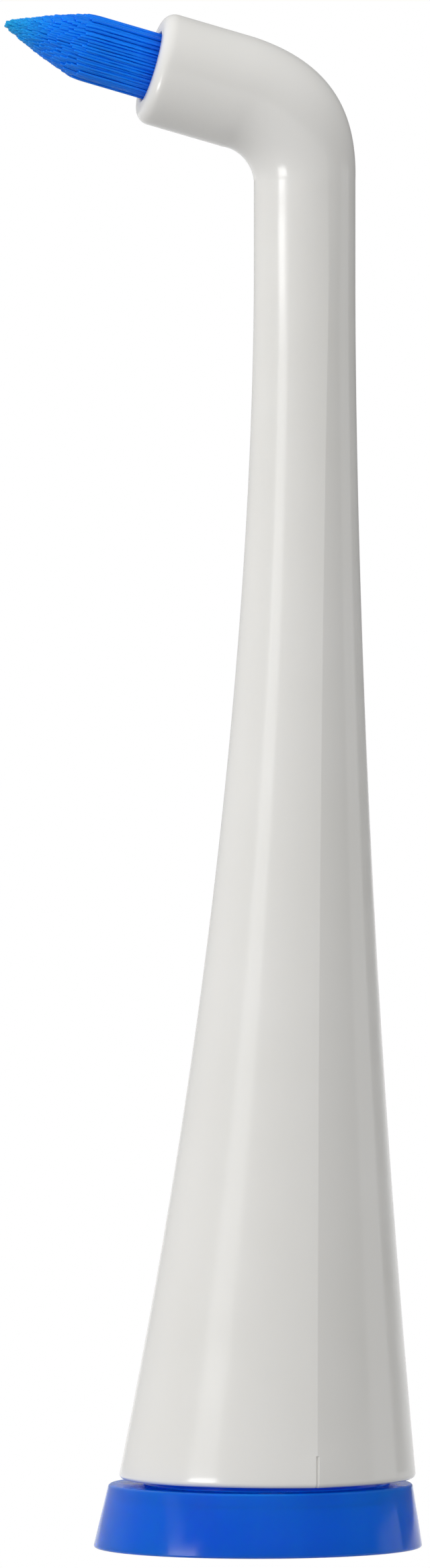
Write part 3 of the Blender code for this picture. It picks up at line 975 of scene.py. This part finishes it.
def between(tree, factor, low, high, start=0.3, stop=0.7):
    """A value that goes from low to high as a factor goes from start to stop."""
    made = tree.nodes.new("ShaderNodeMapRange")
    made.inputs["From Min"].default_value = start
    made.inputs["From Max"].default_value = stop
    made.inputs["To Min"].default_value = low
    made.inputs["To Max"].default_value = high
    tree.links.new(factor, made.inputs["Value"])
    return made.outputs["Result"]


def shades(tree, factor, *stops):
    """A colour that follows a factor through (place, colour) stops."""
    made = tree.nodes.new("ShaderNodeValToRGB")
    ramp = made.color_ramp
    while len(ramp.elements) < len(stops):
        ramp.elements.new(0.5)
    for element, (place, colour) in zip(ramp.elements, stops):
        element.position = place
        element.color = (*colour, 1)
    tree.links.new(factor, made.inputs["Fac"])
    return made.outputs["Color"]


def tint(tree, shader, factor, *stops):
    tree.links.new(shades(tree, factor, *stops), shader.inputs["Base Color"])


def roughen(tree, shader, factor, low, high):
    tree.links.new(between(tree, factor, low, high), shader.inputs["Roughness"])


def scatter(shader, weight, radius, scale):
    """Lets light spread under the surface, each colour by its radius times a scale in millimetres."""
    shader.inputs["Subsurface Weight"].default_value = weight
    shader.inputs["Subsurface Radius"].default_value = radius
    shader.inputs["Subsurface Scale"].default_value = scale * MM


def bump(tree, shader, height, depth):
    """Relief of this depth in millimetres."""
    made = tree.nodes.new("ShaderNodeBump")
    made.inputs["Strength"].default_value = 1.0
    made.inputs["Distance"].default_value = depth * MM
    tree.links.new(height, made.inputs["Height"])
    tree.links.new(made.outputs["Normal"], shader.inputs["Normal"])


def gloss_white():
    made, tree, shader = start_material("gloss_white_plastic")
    tint(tree, shader, noise(tree, 9, 2), (0.3, (0.775, 0.765, 0.735)), (0.7, (0.80, 0.79, 0.765)))
    roughen(tree, shader, noise(tree, 2.5, 4), 0.13, 0.2)
    shader.inputs["IOR"].default_value = 1.5
    scatter(shader, 0.1, (1.0, 0.9, 0.8), 1)
    bump(tree, shader, noise(tree, 1.2, 2), 0.004)
    return made


def clear_blue():
    made, tree, shader = start_material("clear_blue_plastic")
    cloud = noise(tree, 6, 3, (1, 1, 0.4))
    tint(tree, shader, cloud, (0.35, (0.001, 0.18, 0.97)), (0.65, (0.001, 0.24, 1.0)))
    roughen(tree, shader, noise(tree, 1.5, 4), 0.1, 0.2)
    shader.inputs["IOR"].default_value = 1.4
    shader.inputs["Specular IOR Level"].default_value = 0.22
    shader.inputs["Transmission Weight"].default_value = 0.5
    scatter(shader, 0.6, (0.2, 0.6, 1.0), 2)
    bump(tree, shader, noise(tree, 2.0, 2, (1, 1, 0.3)), 0.004)
    return made


def blue_nylon():
    """Painted shade darkens the root and a painted highlight makes the tip paler, with a slightly different
    tone in each filament.
    """
    made, tree, shader = start_material("blue_nylon")
    along = tree.nodes.new("ShaderNodeAttribute")
    along.attribute_name = "along"
    tone = tree.nodes.new("ShaderNodeAttribute")
    tone.attribute_name = "tone"
    # The blue along the tuft, with painted shade at the root where it enters its hole and a painted
    # highlight, paler and greener, at the tip
    blue_with_painted_shade_and_tip_light = shades(
        tree, along.outputs["Fac"],
        (0.0, (0.001, 0.14, 0.85)), (0.12, (0.001, 0.22, 1.0)), (0.7, (0.001, 0.23, 0.98)),
        (1.0, (0.01, 0.40, 0.80)),
    )
    darker = shades(tree, tone.outputs["Fac"], (0.0, (0.75, 0.8, 0.86)), (1.0, (1.0, 1.0, 1.0)))
    mix = tree.nodes.new("ShaderNodeMix")
    mix.data_type = "RGBA"
    mix.blend_type = "MULTIPLY"
    mix.inputs["Factor"].default_value = 1.0
    # Inputs 6 and 7 and output 2 are the node's colour sockets
    tree.links.new(blue_with_painted_shade_and_tip_light, mix.inputs[6])
    tree.links.new(darker, mix.inputs[7])
    tree.links.new(mix.outputs[2], shader.inputs["Base Color"])
    roughen(tree, shader, noise(tree, 0.3, 2), 0.28, 0.42)
    shader.inputs["Specular IOR Level"].default_value = 0.15
    scatter(shader, 0.15, (0.3, 0.6, 1.0), 0.3)
    return made


def natural_acetal():
    made, tree, shader = start_material("natural_acetal")
    tint(tree, shader, noise(tree, 4, 3), (0.3, (0.80, 0.78, 0.72)), (0.7, (0.86, 0.85, 0.80)))
    roughen(tree, shader, noise(tree, 0.8, 4), 0.34, 0.5)
    scatter(shader, 0.15, (1.0, 0.9, 0.7), 1)
    bump(tree, shader, noise(tree, 0.3, 3), 0.004)
    return made


def spring_steel():
    made, tree, shader = start_material("drawn_spring_steel", 1.0)
    streaks = noise(tree, 0.08, 3, (1, 0.05, 1))
    tint(tree, shader, streaks, (0.3, (0.50, 0.50, 0.51)), (0.7, (0.68, 0.68, 0.69)))
    roughen(tree, shader, streaks, 0.18, 0.36)
    bump(tree, shader, streaks, 0.002)
    return made


def anchor_brass():
    made, tree, shader = start_material("sheared_brass", 1.0)
    grain = noise(tree, 0.15, 4, (0.15, 1, 1))
    tint(tree, shader, grain, (0.3, (0.62, 0.46, 0.20)), (0.7, (0.76, 0.61, 0.32)))
    roughen(tree, shader, grain, 0.22, 0.4)
    bump(tree, shader, grain, 0.003)
    return made


# ------------------------------------------------------------------------------------------------ the scene


def build():
    make_camera()
    make_light()
    acetal = natural_acetal()
    shell_moulding(gloss_white())
    ring_moulding(clear_blue())
    socket_moulding(acetal)
    spider_moulding(acetal)
    wire_clip(spring_steel())
    anchor_plate(anchor_brass())
    bristles(blue_nylon())


build()
